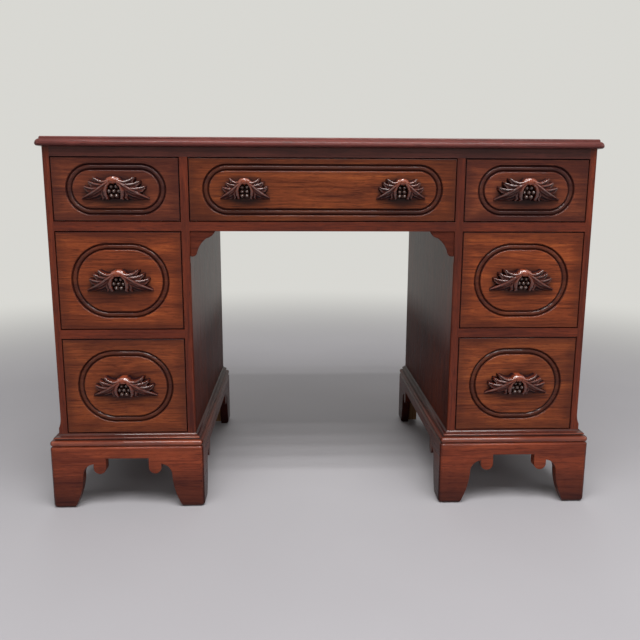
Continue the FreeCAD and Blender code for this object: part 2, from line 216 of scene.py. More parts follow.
def wood_on(tree, direction, shift, colours):
    """The place on the piece, and the wood there with its grain turned and shifted."""
    place = add_node(tree, "ShaderNodeTexCoord").outputs["Object"]
    turned = add_node(tree, "ShaderNodeMapping", {"Vector": place, "Location": shift,
                                                  "Rotation": grain_turns[direction]})
    light, middle, dark = ((*colour, 1) for colour in colours)
    wood = add_node(tree, "ShaderNodeGroup", {"Place": turned.outputs[0], "Light": light, "Middle": middle,
                                              "Dark": dark}, node_tree=figured_wood)
    return place, wood.outputs


def lacquer(tree, shader, wood, colour, coat, depth=0.00010, shine=0.08, coat_roughness=0.08):
    bump = add_node(tree, "ShaderNodeBump", {"Height": wood["Height"], "Distance": depth, "Strength": 0.5})
    tree.links.new(colour, shader.inputs["Base Color"])
    tree.links.new(wood["Roughness"], shader.inputs["Roughness"])
    tree.links.new(bump.outputs[0], shader.inputs["Normal"])
    shader.inputs["Specular IOR Level"].default_value = shine
    shader.inputs["Coat Weight"].default_value = coat
    shader.inputs["Coat Roughness"].default_value = coat_roughness


def wooden_finish(name, direction, colours, shift, coat=0.25, shine=0.08, coat_roughness=0.08):
    finish, tree, shader = start_finish(name)
    wood = wood_on(tree, direction, shift, colours)[1]
    lacquer(tree, shader, wood, wood["Colour"], coat, shine=shine, coat_roughness=coat_roughness)
    return finish


print("grain runs", ", ".join(grain_turns))

# %% Light, middle and dark colours of the desk's woods
frame_colours = ((0.170, 0.031, 0.0115), (0.108, 0.019, 0.0080), (0.045, 0.0082, 0.0052))
# the top rail is darker than the other rails: painted shade under the overhang of the top
top_rail_shade_colours = ((0.112, 0.029, 0.0215), (0.074, 0.0195, 0.0150), (0.033, 0.0092, 0.0082))
bracket_colours = ((0.125, 0.029, 0.0150), (0.080, 0.0180, 0.0105), (0.034, 0.0080, 0.0062))
front_colours = ((0.350, 0.083, 0.0210), (0.192, 0.040, 0.0122), (0.056, 0.0120, 0.0064))
plinth_colours = ((0.305, 0.066, 0.0260), (0.198, 0.040, 0.0168), (0.075, 0.0158, 0.0100))
# a darker copy of the frame colours for faces that stand in shade (the kneehole sides, the plinth sides,
# the back runs of the moulding and the rail tops in the gaps): painted shade
painted_shade_colours = ((0.120, 0.024, 0.0100), (0.076, 0.0145, 0.0070), (0.032, 0.0065, 0.0046))
top_colours = ((0.160, 0.032, 0.0140), (0.100, 0.019, 0.0095), (0.044, 0.0085, 0.0058))
# paler, greyer colours for the top's moulded edge: a painted sheen that stands in for the reflection on it
edge_sheen_colours = ((0.185, 0.047, 0.0380), (0.130, 0.0335, 0.0280), (0.065, 0.0190, 0.0170))
box_colours = ((0.520, 0.360, 0.200), (0.430, 0.280, 0.150), (0.300, 0.180, 0.090))
plain_colours = ((0.330, 0.190, 0.095), (0.250, 0.135, 0.065), (0.150, 0.075, 0.036))
# dark colour of the glaze, also used for painted shade in the gaps, under the pulls, in the moulding and in
# the carving's hollows
glaze_and_shade_colour = (0.014, 0.005, 0.006, 1)
print("middle tone of the fronts", front_colours[1])

# %% Finishes of the boards
frame_sideways = wooden_finish("frame_wood_sideways", "sideways", frame_colours, (0.31, 0.02, 0.13))
frame_upright = wooden_finish("frame_wood_upright", "upright", frame_colours, (0.07, 0.05, -0.11))
top_rail_shaded_wood = wooden_finish("top_rail_shaded_wood", "sideways", top_rail_shade_colours, (0.11, 0.02, 0.41))
rail_top_shaded_wood = wooden_finish("rail_top_shaded_wood", "sideways", painted_shade_colours, (0.21, 0.02, 0.13),
                              coat=0.0, shine=0.0)
bracket_wood = wooden_finish("bracket_wood", "sideways", bracket_colours, (0.17, -0.04, 0.05),
                             coat=0.06, shine=0.03)
top_wood = wooden_finish("top_wood", "sideways", top_colours, (0.53, 0.21, 0.04),
                         coat=0.35, shine=0.04, coat_roughness=0.2)
edge_sheen_wood = wooden_finish("top_edge_sheen_wood", "sideways", edge_sheen_colours, (0.53, 0.21, 0.04), coat=0.15)
box_sideways = wooden_finish("drawer_box_sideways", "sideways", box_colours, (0.2, 0.1, 0.0), coat=0.0)
box_back = wooden_finish("drawer_box_back", "back", box_colours, (0.1, 0.3, 0.0), coat=0.0)
plain_upright = wooden_finish("plain_wood_upright", "upright", plain_colours, (0.0, 0.1, 0.2), coat=0.0)
plain_back = wooden_finish("plain_wood_back", "back", plain_colours, (0.4, 0.1, 0.2), coat=0.0)
plain_sideways = wooden_finish("plain_wood_sideways", "sideways", plain_colours, (0.1, 0.2, 0.3), coat=0.0)
print(len(bpy.data.materials), "finishes so far")

# %% A finish for the kneehole, duller where feet and brooms have rubbed it
rubbed_below, polished_over = 320 * mm, 420 * mm


def kneehole_finish():
    finish, tree, shader = start_finish("kneehole_wood")
    # the kneehole faces take the darker colours of painted shade
    place, wood = wood_on(tree, "upright", (0.37, 0.05, -0.31), painted_shade_colours)
    lacquer(tree, shader, wood, wood["Colour"], 0.0, shine=0.005, coat_roughness=0.3)
    polish = ramp(tree, height_of(tree, place), rubbed_below, polished_over, 0.0, 0.29)
    tree.links.new(polish, shader.inputs["Coat Weight"])
    return finish


kneehole_wood = kneehole_finish()
print("finish", kneehole_wood.name)

# %% [markdown]
# ## Working on a piece by hand
# Modelling tools act on whatever is selected. These helpers deselect everything, bring up one piece in
# edit mode and select its edges or faces by a test of their place, which is what a hand would do with the
# mouse.

# %% Selection helpers
def work_on(piece):
    bpy.ops.object.select_all(action="DESELECT")
    piece.select_set(True)
    bpy.context.view_layer.objects.active = piece


def pick(piece, kind, test):
    bpy.ops.mesh.select_mode(type=kind)
    bpy.ops.mesh.select_all(action="DESELECT")
    mesh = bmesh.from_edit_mesh(piece.data)
    kinds = {"VERT": mesh.verts, "EDGE": mesh.edges, "FACE": mesh.faces}
    chosen = [part for part in kinds[kind] if test(part)]
    for part in chosen:
        part.select_set(True)
    mesh.select_flush_mode()
    bmesh.update_edit_mesh(piece.data)
    return len(chosen)


def crease(edge):
    return edge.calc_face_angle(0.0) if len(edge.link_faces) == 2 else 0.0


# %% Copy a solid, ease its edges and put the piece in its place
def merged_copy(node, name):
    piece = bpy.data.objects.new(name, nodes[node].data.copy())
    bpy.context.scene.collection.objects.link(piece)
    work_on(piece)
    bpy.ops.mesh.customdata_custom_splitnormals_clear()
    bpy.ops.object.mode_set(mode="EDIT")
    bpy.ops.mesh.select_all(action="SELECT")
    bpy.ops.mesh.remove_doubles(threshold=0.01 * mm)
    bpy.ops.mesh.select_all(action="SELECT")
    bpy.ops.mesh.dissolve_limited(angle_limit=radians(0.5))
    return piece


def ease(piece, width, segments, test):
    count = pick(piece, "EDGE", test)
    if count:
        bpy.ops.mesh.bevel(offset=width, segments=segments, affect="EDGES", clamp_overlap=True)
    return count


def done(piece, angle=35, flat_faces=True):
    bpy.ops.object.mode_set(mode="OBJECT")
    work_on(piece)
    bpy.ops.object.shade_smooth_by_angle(angle=radians(angle))
    if flat_faces:
        bpy.ops.object.modifier_add(type="WEIGHTED_NORMAL")
        piece.modifiers[-1].keep_sharp = True
        bpy.ops.object.modifier_apply(modifier=piece.modifiers[-1].name)


def dress(piece, finishes, body, slot, *replaced):
    piece.data.materials.clear()
    for finish in finishes:
        piece.data.materials.append(finish)
    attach(piece, body)
    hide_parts(*replaced)


def second_finish(piece, test):
    """Give the second finish to the faces that pass the test, and the first to the others."""
    for face in piece.data.polygons:
        face.material_index = 1 if test(face) else 0


# %% [markdown]
# ## Top board
# The top, the stiles, the rails and the brackets were planed and sanded, so no edge on them is perfectly
# sharp. A bevel modifier on the whole solid would also open the hidden joints, so each board is copied,
# merged, and only its seen edges are picked and bevelled. The softened edges catch the light as thin
# lines. The upper face of the top is more rubbed than its moulded edge, so the two have finishes of their
# own. The edge's colours are paler and greyer than the top's: a painted sheen that stands in for its
# reflection.

# %% Ease the top
hair = 0.1 * mm


def is_sharp(edge):
    return crease(edge) > radians(50)


def faces_up(face):
    return face.normal.z > 0.99


top = merged_copy("top_board", "top_board_eased")
eased = ease(top, 0.5 * mm, 2, is_sharp)
done(top, 40)
dress(top, [edge_sheen_wood, top_wood], "carcase", "top_wood", "top_board")
second_finish(top, faces_up)
print("top with", eased, "edges eased")

# %% [markdown]
# ## Stiles
# The front edges of the pedestal sides are the stiles. Those at the kneehole, where knees and chairs
# knock, were rounded more, and the rounding stops short of the brackets and of the base. Two bisects mark
# the stops, a bevel rounds the edge between them, and the end points are drawn along the edge, so that it
# runs out.

# %% Round the kneehole edge of a board
arris_round = 4.5 * mm
arris_foot = plinth_top + 31 * mm
arris_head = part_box("corner_brackets")[0].z - 14 * mm
foot_run_out, head_run_out = -5 * mm, 12 * mm


def at_kneehole(vertex, low, high):
    x, y, z = vertex.co
    near = abs(abs(x) - kneehole_face) < hair and abs(y - front_plane) < hair
    return near and low - hair < z < high + hair


def round_arris(board):
    for height in (arris_foot, arris_head):
        bpy.ops.mesh.select_all(action="SELECT")
        bpy.ops.mesh.bisect(plane_co=(0, 0, height), plane_no=(0, 0, 1))
    ease(board, arris_round, 4, lambda e: all(at_kneehole(v, arris_foot, arris_head) for v in e.verts))
    for height, run_out in ((arris_foot, foot_run_out), (arris_head, head_run_out)):
        pick(board, "VERT", lambda v: at_kneehole(v, height, height))
        bpy.ops.transform.translate(value=(0, 0, run_out))


print("rounding from", round(arris_foot, 4), "to", round(arris_head, 4), "m")

# %% Ease the four sides
def on_front(edge, reach=0.2 * mm):
    return all(abs(v.co.y - front_plane) < reach for v in edge.verts)


def outside(edge):
    return all(abs(v.co.x) > outer_face - hair for v in edge.verts)


for side in ("left_outer_side", "right_outer_side", "left_inner_side", "right_inner_side"):
    board = merged_copy(side, side + "_eased")
    outer = "outer" in side
    if outer:
        ease(board, 1.6 * mm, 3, lambda e: is_sharp(e) and on_front(e) and outside(e))
    else:
        round_arris(board)
    done(board)
    dress(board, [frame_upright, kneehole_wood], "carcase", "carcase_wood", side)
    second_finish(board, lambda f: not outer and abs(f.normal.x) >= 0.9)
    print(side, "of", len(board.data.polygons), "faces")

# %% [markdown]
# ## Rails and brackets
# The rails show only their front faces. Behind the drawer fronts their upper faces take a dull finish, with
# no coat, in the darker colours of painted shade, which keeps the gaps under the drawers dark. The top rail
# is also painted darker than the others, as shade under the overhang of the top. The brackets are eased all
# round.

# %% Ease the rails and the brackets
def lies_level(edge):
    return abs(edge.verts[0].co.z - edge.verts[1].co.z) < hair


for rail in ("top_front_rail", "drawer_rails", "kneehole_rail"):
    board = merged_copy(rail, rail + "_eased")
    eased = ease(board, 0.6 * mm, 2, lambda e: is_sharp(e) and on_front(e) and lies_level(e))
    done(board)
    lacquered = top_rail_shaded_wood if rail == "top_front_rail" else frame_sideways
    dress(board, [lacquered, rail_top_shaded_wood], "carcase", "carcase_wood", rail)
    second_finish(board, faces_up)
    print(rail, "with", eased, "edges eased")

brackets = merged_copy("corner_brackets", "corner_brackets_eased")
eased = ease(brackets, 1.0 * mm, 3, is_sharp)
done(brackets)
dress(brackets, [bracket_wood], "carcase", "carcase_wood", "corner_brackets")
print("brackets with", eased, "edges eased")

# %% [markdown]
# ## Plinths
# The plinth boards are scalloped into pendants and feet, and their front corners are round. The toes wear
# most, so their lower edges get a wide bevel and the other seen edges a narrow one. Only edges between a
# face that looks out and one that does not are picked, because the mitres behind the corners have to stay
# closed. The lacquer is dark near the floor.

# %% Pick the seen edges of a plinth
corner_lines = (plinth_inner + plinth_corner, plinth_outer - plinth_corner)
corner_depth = plinth_front + plinth_corner


def at_corner(place):
    """True over the rounded front corners of a pedestal's base."""
    return place.y < corner_depth and not corner_lines[0] < abs(place.x) < corner_lines[1]


def faces_out(face, reach=0.3 * mm):
    place = face.calc_center_median()
    x = abs(place.x)
    if abs(face.normal.z) > 0.3:
        return False
    if at_corner(place):
        turn_x = min(corner_lines, key=lambda line: abs(x - line))
        return Vector((x - turn_x, place.y - corner_depth)).length > plinth_corner - 2 * reach
    return place.y < plinth_front + reach or x > plinth_outer - reach or x < plinth_inner + reach


def outer_edge(edge):
    middle = (edge.verts[0].co + edge.verts[1].co) / 2
    upright = abs(edge.verts[0].co.z - edge.verts[1].co.z) > 1 * mm
    if crease(edge) < radians(30) or upright and at_corner(middle):
        return False
    splay = any(0.5 < face.normal.z < 0.9 for face in edge.link_faces)
    return splay or sum(faces_out(face) for face in edge.link_faces) == 1


def toe_edge(edge):
    return outer_edge(edge) and all(v.co.z < hair for v in edge.verts)


print("round corners begin at", [round(line, 4) for line in corner_lines], "m from the middle")

# %% Ease the plinth boards and round the toes
darkening_head, darkening_knee, darkening_toe = 108 * mm, 50 * mm, 5 * mm


def plinth_finish(name, direction, colours, coat):
    finish, tree, shader = start_finish(name)
    place, wood = wood_on(tree, direction, (0.61, 0.12, 0.23), colours)
    height = height_of(tree, place)
    # the colour darkens towards the floor
    low_darkening = reckon(tree, "ADD", ramp(tree, height, darkening_head, darkening_knee, 0.0, 0.56),
                  ramp(tree, height, darkening_knee, darkening_toe, 0.0, 0.20))
    lacquer(tree, shader, wood, blend(tree, low_darkening, wood["Colour"], glaze_and_shade_colour), coat, shine=0.04)
    return finish


# the plinth sides take the darker colours of painted shade
plinth_woods = {"plinth_fronts": plinth_finish("plinth_wood_front", "sideways", plinth_colours, 0.25),
                "plinth_sides": plinth_finish("plinth_wood_side", "back", painted_shade_colours, 0.08)}
for node, finish in plinth_woods.items():
    board = merged_copy(node, node + "_eased")
    toes = ease(board, 8.0 * mm, 4, toe_edge)
    eased = ease(board, 1.6 * mm, 3, outer_edge)
    done(board, 50)
    dress(board, [finish], "carcase", "carcase_wood", node)
    print(node, "with", toes, "toe edges and", eased, "other edges eased")

# %% [markdown]
# ## Base moulding
# A moulding of two beads and a sweep runs round each pedestal and turns the two front corners. On a bench
# it is cut as one long profile. Here the profile is drawn at the back end and extruded from station to
# station round the pedestal. At the small round corners only the outer beads turn on a radius, and the
# sweep behind them is mitred.

# %% Draw the profile of the moulding
# in millimetres: reach from the carcase and rise over the plinth
bead_foot, bead_height, bead_swell = 0.2, 12.0, 5.6
quirk_points = [(10.2, 12.1), (8.4, 12.6), (7.4, 13.6), (7.1, 15.2)]
small_bead_reach, small_bead_rise, small_bead_radius = 8.0, 17.2, 1.7
moulding_height = 25.0
sweep_steps = 7


def moulding_profile():
    inset = plinth_out / mm - bead_swell
    points = [(0.0, 0.0)]
    # powers just under one make the bead a little squarer than half an ellipse
    for degrees in range(-90, 91, 15):
        turn = radians(degrees)
        swell = copysign(abs(sin(turn)) ** 0.95, sin(turn))
        points.append((inset + bead_swell * abs(cos(turn)) ** 0.9,
                       bead_foot + (bead_height - bead_foot) * (1 + swell) / 2))
    points += quirk_points
    for degrees in range(-70, 81, 25):
        turn = radians(degrees)
        points.append((small_bead_reach + small_bead_radius * cos(turn),
                       small_bead_rise + small_bead_radius * sin(turn)))
    foot_out, foot_rise = points[-1]
    for k in range(1, sweep_steps + 1):
        share = k / sweep_steps
        points.append((foot_out * (1 - share) ** 2.0, foot_rise + (moulding_height - foot_rise) * share))
    return points


profile = moulding_profile()
print("profile of", len(profile), "points")

# %% Place the profile at the stations of its run
turn_inset = plinth_out - plinth_corner
turn_steps = 8
last_station = 2 * turn_steps + 2


def moulding_place(out, station):
    """Plan place of a point that lies so far out from the carcase, at a station of the run."""
    square, turned = min(out, turn_inset), max(out - turn_inset, 0.0)
    if station < 0:
        return kneehole_face - out, back_plane
    if station <= turn_steps:
        turn = radians(90 * station / turn_steps)
        return kneehole_face - square - turned * cos(turn), front_plane - square - turned * sin(turn)
    if station < last_station:
        turn = radians(90 * (station - turn_steps - 1) / turn_steps)
        return base_face + square + turned * sin(turn), front_plane - square - turned * cos(turn)
    return base_face + out, back_plane


def set_loop(piece, station):
    mesh = bmesh.from_edit_mesh(piece.data)
    loop = sorted((v for v in mesh.verts if v.select), key=lambda v: v.index)
    for vertex, (out, rise) in zip(loop, profile):
        vertex.co = (*moulding_place(out * mm, station), plinth_top + rise * mm)
    bmesh.update_edit_mesh(piece.data)


print("the run turns at", [round(v, 4) for v in moulding_place(0.0, 0)], "and at",
      [round(v, 4) for v in moulding_place(0.0, last_station - 1)])

# %% Run the profile round one pedestal
def run_moulding(name):
    bpy.ops.object.select_all(action="DESELECT")
    bpy.ops.mesh.primitive_circle_add(vertices=len(profile), radius=5 * mm)
    piece = bpy.context.object
    piece.name = name
    bpy.ops.object.mode_set(mode="EDIT")
    bpy.ops.mesh.select_mode(type="VERT")
    bpy.ops.mesh.select_all(action="SELECT")
    set_loop(piece, -1)
    for station in range(last_station + 1):
        bpy.ops.mesh.extrude_region_move()
        bmesh.from_edit_mesh(piece.data).verts.index_update()
        set_loop(piece, station)
    pick(piece, "EDGE", lambda e: e.is_boundary)
    bpy.ops.mesh.edge_face_add()
    bpy.ops.mesh.select_all(action="SELECT")
    bpy.ops.mesh.remove_doubles(threshold=0.005 * mm)
    bpy.ops.mesh.normals_make_consistent(inside=False)
    return piece


right_moulding = run_moulding("base_mouldings_right")
done(right_moulding, 40, flat_faces=False)
print("moulding of", len(right_moulding.data.polygons), "faces,",
      [round(v, 4) for v in right_moulding.dimensions], "m")

# %% A finish with glaze and painted shade in the quirks and the sweep of the moulding
def between(tree, value, low, full, fading, high):
    """One from full to fading, and nought below low and over high."""
    return reckon(tree, "MULTIPLY", ramp(tree, value, low, full), ramp(tree, value, high, fading))


def moulding_finish(name, direction, colours, coat):
    finish, tree, shader = start_finish(name)
    place, wood = wood_on(tree, direction, (0.21, 0.08, 0.33), colours)
    rise = reckon(tree, "SUBTRACT", height_of(tree, place), plinth_top)
    quirk = between(tree, rise, 11.6 * mm, 12.6 * mm, 15.4 * mm, 17.0 * mm)
    sweep = between(tree, rise, 18.0 * mm, 19.2 * mm, 24.5 * mm, 26.5 * mm)
    foot = ramp(tree, rise, 1.4 * mm, 0.4 * mm)
    # the quirks, the sweep and the foot are darkened: partly glaze, partly painted shade
    moulding_glaze_and_shade = reckon(tree, "MAXIMUM", quirk, reckon(tree, "MAXIMUM", sweep, foot))
    colour = blend(tree, reckon(tree, "MULTIPLY", moulding_glaze_and_shade, 0.65), wood["Colour"], glaze_and_shade_colour)
    lacquer(tree, shader, wood, colour, coat, shine=0.02)
    return finish


moulding_front = moulding_finish("moulding_wood_front", "sideways", plinth_colours, 1.0)
# the back runs take the darker colours of painted shade
moulding_back = moulding_finish("moulding_wood_back", "back", painted_shade_colours, 0.10)
print("moulding finishes", moulding_front.name, moulding_back.name)

# %% Mirror the moulding to the left pedestal
def runs_back(face):
    x = abs(face.center.x)
    near = min(abs(x - kneehole_face), abs(x - base_face))
    return not kneehole_face < x < base_face and front_plane - face.center.y <= near


left_moulding = bpy.data.objects.new("base_mouldings_left", right_moulding.data.copy())
bpy.context.scene.collection.objects.link(left_moulding)
work_on(left_moulding)
bpy.ops.object.mode_set(mode="EDIT")
bpy.ops.mesh.select_all(action="SELECT")
bpy.ops.transform.resize(value=(-1, 1, 1), center_override=(0, 0, 0))
bpy.ops.mesh.normals_make_consistent(inside=False)
done(left_moulding, 40, flat_faces=False)
for piece in (right_moulding, left_moulding):
    dress(piece, [moulding_front, moulding_back], "carcase", "carcase_wood", "base_mouldings")
    second_finish(piece, runs_back)
print("mouldings on both pedestals")

# %% [markdown]
# ## Drawer fronts
# Each front carries a routed oval: a quirk, a bead and another quirk, with round shoulders. The solid
# already has the flats of that profile, so its copy only needs the shoulders and the bead rounded. Three
# bevels do it: a wide one on the rims, one on the bead, and a narrow one in the quirks. Dark glaze
# gathers in the groove. Round the pull a dark halo is painted, partly glaze and partly painted shadow,
# set a little below the pull, and painted shade darkens the edges of the front along the gaps.

# %% Masks of the glaze and painted shade on a front
pull_rise = 2 * mm
halo_drop, halo_height = 4 * mm, 29 * mm


def pull_glaze_and_shadow(tree, parts, halo_width, half_spacing):
    """Glaze round each pull, with painted shadow: the halo is centred below the pull."""
    across = reckon(tree, "SUBTRACT", reckon(tree, "ABSOLUTE", parts["X"]), half_spacing)
    across = reckon(tree, "DIVIDE", across, halo_width)
    down = reckon(tree, "DIVIDE", reckon(tree, "ADD", parts["Z"], halo_drop), halo_height)
    square = reckon(tree, "MULTIPLY_ADD", across, across, reckon(tree, "MULTIPLY", down, down))
    return ramp(tree, reckon(tree, "POWER", square, 0.5), 1.25, 0.72, 0.0, 0.85)


def groove_glaze(tree, depth):
    """Glaze in the groove of the oval, more in its quirks than on its bead."""
    sunk = reckon(tree, "ADD", ramp(tree, depth, 0.3 * mm, 1.0 * mm, 0.0, 0.60),
                  ramp(tree, depth, 1.5 * mm, 3.0 * mm, 0.0, 0.24))
    return reckon(tree, "MULTIPLY", sunk, ramp(tree, depth, 6.0 * mm, 5.0 * mm))


def border_inset(tree, parts, halves):
    """How far a place lies inside the border of the front."""
    up = reckon(tree, "ADD", parts["Z"], pull_rise)
    beside = reckon(tree, "SUBTRACT", halves[0], reckon(tree, "ABSOLUTE", parts["X"]))
    above = reckon(tree, "SUBTRACT", halves[1], reckon(tree, "ABSOLUTE", up))
    return reckon(tree, "MINIMUM", beside, above)


# %% A finish for a front with its glaze and painted shade
def front_finish(name, tone, centre, halves, halo_width, half_spacing):
    finish, tree, shader = start_finish(name)
    colours = [tuple(part * share for part, share in zip(colour, tone)) for colour in front_colours]
    place, wood = wood_on(tree, "sideways", (centre.z * 3.1, 0.0, centre.x * 0.6), colours)
    centred = add_node(tree, "ShaderNodeMapping", {"Vector": place, "Location": -centre})
    parts = add_node(tree, "ShaderNodeSeparateXYZ", {0: centred.outputs[0]}).outputs
    halo = pull_glaze_and_shadow(tree, parts, halo_width, half_spacing)
    sunk = groove_glaze(tree, parts["Y"])
    inset = border_inset(tree, parts, halves)
    # painted shade: the edges of the front next to the gaps are darkened
    gap_shade = reckon(tree, "MULTIPLY", ramp(tree, inset, 1.5 * mm, 0.3 * mm, 0.0, 0.9),
                 ramp(tree, parts["Y"], 1.5 * mm, 0.4 * mm))
    colour = blend(tree, ramp(tree, inset, 34 * mm, 0.0, 0.0, 0.55), wood["Colour"], (*colours[2], 1))
    colour = blend(tree, gap_shade, colour, glaze_and_shade_colour)
    colour = blend(tree, reckon(tree, "MAXIMUM", halo, sunk), colour, glaze_and_shade_colour)
    lacquer(tree, shader, wood, colour, 0.25, shine=0.02)
    tree.links.new(ramp(tree, sunk, 0.0, 0.5, 0.25, 0.32), shader.inputs["Coat Weight"])
    return finish


# %% Round the oval of a front
oval_border = 8 * mm
bead_depth = 1.3 * mm
quirk_top, quirk_floor = 3.6 * mm, 5.0 * mm


def round_oval(front, low, high):
    def on_rim(edge):
        return all(v.co.y < front_plane + hair and low.x + oval_border < v.co.x < high.x - oval_border
                   and low.z + oval_border < v.co.z < high.z - oval_border for v in edge.verts)

    def on_bead(edge):
        return all(v.co.y < front_plane + bead_depth for v in edge.verts)

    def in_quirk(edge):
        return all(front_plane + quirk_top < v.co.y < front_plane + quirk_floor for v in edge.verts)

    ease(front, 2.0 * mm, 4, lambda e: crease(e) > radians(25) and on_rim(e))
    ease(front, 1.1 * mm, 3, lambda e: crease(e) > radians(25) and on_bead(e))
    ease(front, 0.5 * mm, 2, lambda e: crease(e) > radians(60) and in_quirk(e))


print("edges from", round(quirk_top / mm, 1), "to", round(quirk_floor / mm, 1), "mm deep lie in a quirk")

# %% Make the seven fronts
rows = ("upper", "middle", "lower")
drawers = [hand + "_" + row + "_drawer" for hand in ("left", "right") for row in rows]
drawers.append("centre_drawer")
# tones of the boards; the upper row is painted darker, as shade under the overhang of the top
board_tones_and_shade = {"upper": (0.68, 0.78, 1.20), "middle": (1.04, 1.06, 1.12), "lower": (0.97, 1.08, 1.20),
               "centre": (0.80, 0.88, 0.95)}
halo_widths = {"large": 60 * mm, "small": 46 * mm}
centre_half_spacing = 161.5 * mm


def make_front(drawer):
    low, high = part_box(drawer + "_front")
    front = merged_copy(drawer + "_front", drawer + "_front_moulded")
    round_oval(front, low, high)
    done(front, 30)
    centre = Vector(((low.x + high.x) / 2, front_plane, (low.z + high.z) / 2 + pull_rise))
    halves = (high.x - low.x) / 2, (high.z - low.z) / 2
    tone = board_tones_and_shade[drawer.split("_")[-2]]
    wide = drawer == "centre_drawer"
    finish = front_finish(drawer + "_front_wood", tone, centre, halves,
                          halo_widths["small" if wide else "large"], centre_half_spacing if wide else 0.0)
    dress(front, [finish], drawer, "front_wood", drawer + "_front")
    print(drawer, "front of", len(front.data.polygons), "faces")
    return centre


pull_centres = {drawer: make_front(drawer) for drawer in drawers}

# %% [markdown]
# ## Carved pulls
# Each pull was carved in relief from one block: a hood over a cluster of berries, folds that fall on both
# sides of it, and lobed leaves with raised rims that spread to the sides. Relief has one depth at every
# point of its face, so the blank is a fine upright grid. At each point the highest lobe wins, as it does
# under the gouge, and the waste is cut away.

# %% Blades and rims of the leaves, for the right half of a large pull
# place across, height, crest and half width along each rib, in millimetres
leaf_blades = [
    [(9, 12.5, 21.5, 4.6), (19, 9.4, 20, 4.8), (28, 10.8, 19, 4.6), (35, 14.6, 17.5, 3.6),
     (40.5, 19.6, 15.5, 1.2)],
    [(22, 3.6, 18.5, 4.6), (34, 3.6, 17.5, 4.8), (43, 6.0, 16, 4.0), (50.5, 10.6, 13.5, 1.2)],
    [(32, -4.4, 16.5, 4.8), (45, -4.8, 14.5, 4.8), (54, -3.2, 12.5, 3.8), (60.5, 0.4, 10, 1.2)],
    [(12, 6, 19, 6.0), (26, -3.6, 17.5, 6.4), (40, -11, 13.5, 6.0), (54, -17, 9, 4.4), (67, -21, 4.5, 1.2)],
    [(14, -2, 15, 9.5), (26, -10, 11.5, 9.0), (40, -15.5, 8, 6.5), (54, -19.5, 5, 3.4),
     (62, -21.3, 3.5, 1.2)]]
leaf_rims = [
    [(7, 17.0, 26, 2.4), (14, 13.6, 25, 2.4), (22, 12.8, 23.5, 2.3), (30, 15.0, 22, 2.1),
     (36.5, 19.0, 20, 1.7), (40.5, 22.4, 17.5, 0.9)],
    [(21, 7.4, 22, 2.1), (31, 7.4, 21, 2.1), (40, 9.2, 19, 1.9), (46.5, 11.8, 17, 1.5),
     (51, 14.2, 14.5, 0.8)],
    [(31, -0.6, 19.5, 2.0), (43, -0.8, 17.5, 2.0), (52, 0.8, 15, 1.7), (61, 3.6, 11.5, 0.8)],
    [(9, 13.4, 26, 2.8), (20, 6.4, 24, 2.7), (32, -1.8, 21, 2.6), (46, -9.8, 16, 2.4),
     (58, -15.8, 10.5, 2.0), (68.4, -20.6, 5, 0.8)],
    [(14, 6.0, 23, 1.8), (25, -2.0, 20.5, 1.8), (38, -9.6, 16.5, 1.6), (50, -15.4, 11.5, 1.2)]]
blade_slope, rim_slope, fold_slope = 0.3, 0.73, 0.73
print(len(leaf_blades), "blades and", len(leaf_rims), "rims in half a pull")

# %% Folds, berries and sizes of the pulls
fold_ribs = [
    [(0, 19.5, 26.5, 5.5), (8, 15.5, 26, 6.0), (14, 10, 24, 5.0), (18, 4, 22, 4.0)],
    [(9, 11, 24.5, 3.6), (14.5, 4, 24, 4.0), (17, -5, 23, 4.0), (16.5, -13, 20.5, 3.6),
     (14.5, -19, 17, 3.0), (16.5, -22.2, 14, 1.6)],
    [(18, 4, 21.5, 3.6), (22.5, -4, 19.5, 4.0), (24, -11, 16.5, 3.8), (22.5, -17.5, 13.5, 3.0),
     (25, -22, 9.5, 1.4)]]
cavity_heights = (-23, -19, -12, -5, 3, 9, 13)
cavity_halves = (11, 12, 13.4, 13.8, 11.5, 6.5, 0)
cavity_floor = 8.0
# how many berries lie in each row, and the height of the row
berry_rows = {"large": ((2, 3.6), (3, -5.6), (2, -14.8)), "small": ((2, 3.4), (2, -6.2), (2, -15.4))}
berry_pitch, berry_radius, berry_foot, berry_crest = 10.0, 4.8, 11.0, 19.5
pull_sizes = {"large": (138.0, 47.0), "small": (103.0, 43.0)}
pull_depth = 27.0
print(len(fold_ribs), "folds in half a pull, and pulls of", pull_sizes, "mm")

# %% Depth of one rib and of one dome
def ridge(x, z, rib, slope):
    """Depth of a rib: two planes that meet in a rounded crest along it, with a steep wall round them."""
    depth = np.zeros_like(x)
    for (x0, z0, crest0, half0), (x1, z1, crest1, half1) in zip(rib, rib[1:]):
        run, rise = x1 - x0, z1 - z0
        along = np.clip(((x - x0) * run + (z - z0) * rise) / (run * run + rise * rise), 0, 1)
        off = np.hypot(x - x0 - along * run, z - z0 - along * rise)
        half = half0 + along * (half1 - half0)
        crest = crest0 + along * (crest1 - crest0)
        fall = slope * (np.sqrt(off ** 2 + 0.5) - 0.7)
        wall = np.clip((half - off) / 0.9 + 1.4, 0, 1)
        depth = np.maximum(depth, (crest - fall) * wall)
    return depth


def dome(x, z, place, radii, foot, crest):
    share = ((x - place[0]) / radii[0]) ** 2 + ((z - place[1]) / radii[1]) ** 2
    return np.where(share < 1, foot + (crest - foot) * np.sqrt(np.clip(1 - share, 0, 1)), 0.0)


print("third point of the first rim:",
      ridge(np.array([22.0]), np.array([12.8]), leaf_rims[0], rim_slope).round(1), "mm deep")

